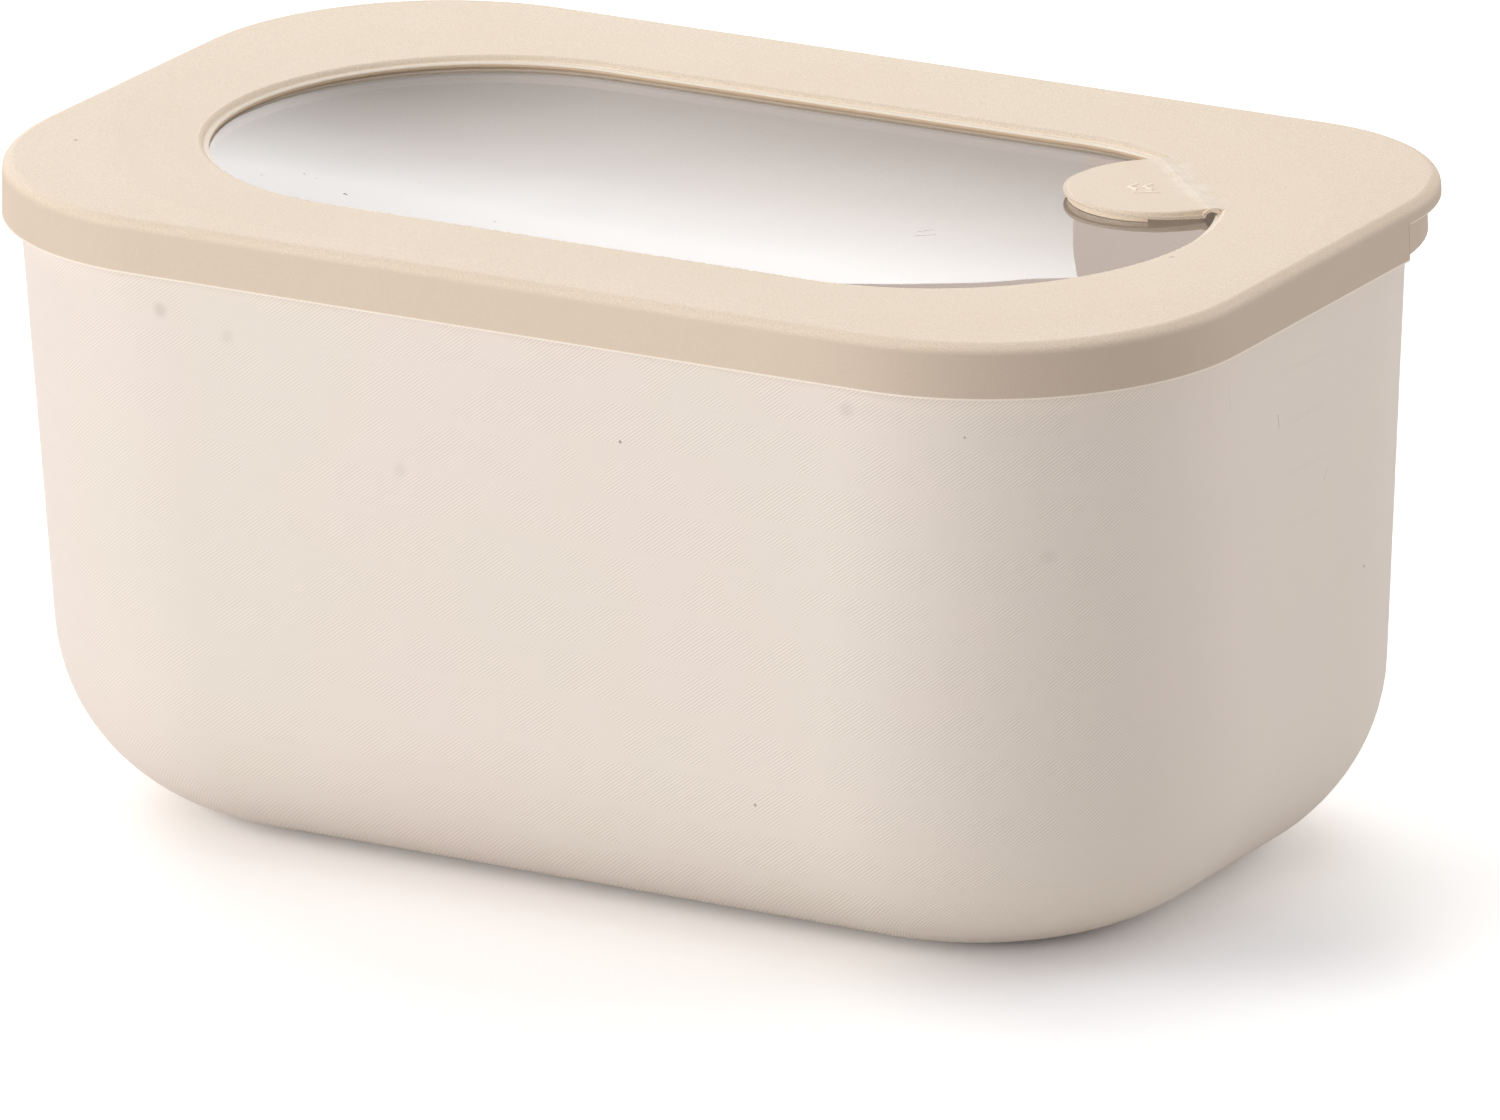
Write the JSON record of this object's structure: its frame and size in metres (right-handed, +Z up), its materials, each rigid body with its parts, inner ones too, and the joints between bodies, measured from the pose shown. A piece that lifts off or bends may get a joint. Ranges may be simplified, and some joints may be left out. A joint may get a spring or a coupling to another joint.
{
  "type": "food storage container",
  "caption": "Deep oblong food storage container with rounded corners and a press-on lid that has a clear window, a corner pull lip and a small vent flap on a living hinge.",
  "frame": {"origin": "centre of the plan at the floor, under the middle of the lid", "axes": "+Z up, +X along the length towards the vent flap's end, +Y towards the side with the pull lip"},
  "size_m": [0.24, 0.1476, 0.119],
  "materials": {
    "tub_plastic": "satin moulded plastic, cream",
    "lid_plastic": "fine sandy mould grain, warm beige",
    "window_clear": "clear glossy plastic"
  },
  "bodies": {
    "container": {"tub": "tub_plastic", "lid_frame": "lid_plastic", "window_pane": "window_clear"},
    "flap": {"vent_flap": "lid_plastic"}
  },
  "joints": [
    {"name": "vent_hinge", "type": "hinge", "parent": "container", "child": "flap", "pos_m": [0.07676, 0.02906, 0.11855], "axis": [-0.7071, 0.7071, 0], "range_deg": [0, 110]}
  ]
}
